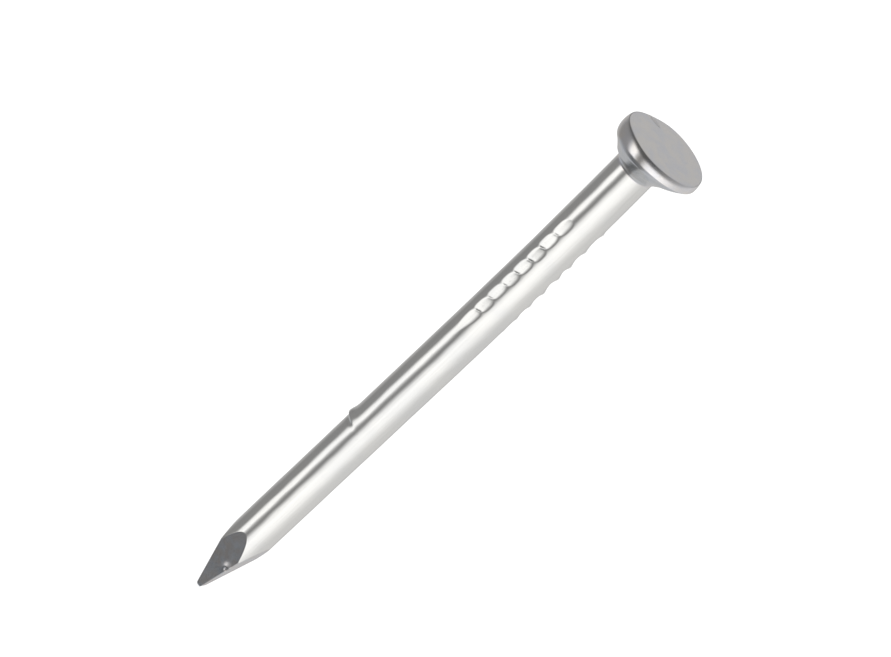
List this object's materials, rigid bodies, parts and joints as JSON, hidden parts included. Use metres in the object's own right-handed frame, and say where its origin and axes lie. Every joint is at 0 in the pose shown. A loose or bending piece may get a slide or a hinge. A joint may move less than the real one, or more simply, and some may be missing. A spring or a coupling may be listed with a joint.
{
  "type": "nail",
  "caption": "Round wire nail with a flat off-centre head, conical neck, gripping-die marks below the head and a diamond point.",
  "frame": {"origin": "where the wire's axis meets the striking face", "axes": "+Z along the wire's axis, out of the striking face, so the point is at -Z. The four facets of the point face +X, +Y, -X and -Y, and the head sits off the wire's axis towards +X"},
  "size_m": [0.007, 0.007, 0.0508],
  "materials": {
    "wire_steel": "bright drawn wire with fine lengthwise drawing lines",
    "head_steel": "bright upset steel, slightly duller and faintly mottled on the striking face",
    "cut_steel": "bright cut and pinched steel with faint cutter marks"
  },
  "bodies": {
    "root": {"head": "head_steel", "collar": "head_steel", "neck": "head_steel", "upper_shank": "wire_steel", "grip_shank": "wire_steel", "grip_crests": "wire_steel", "lower_shank": "wire_steel", "shank_burr": "wire_steel", "point": "cut_steel", "point_flash": "cut_steel", "tip": "cut_steel"}
  },
  "joints": []
}
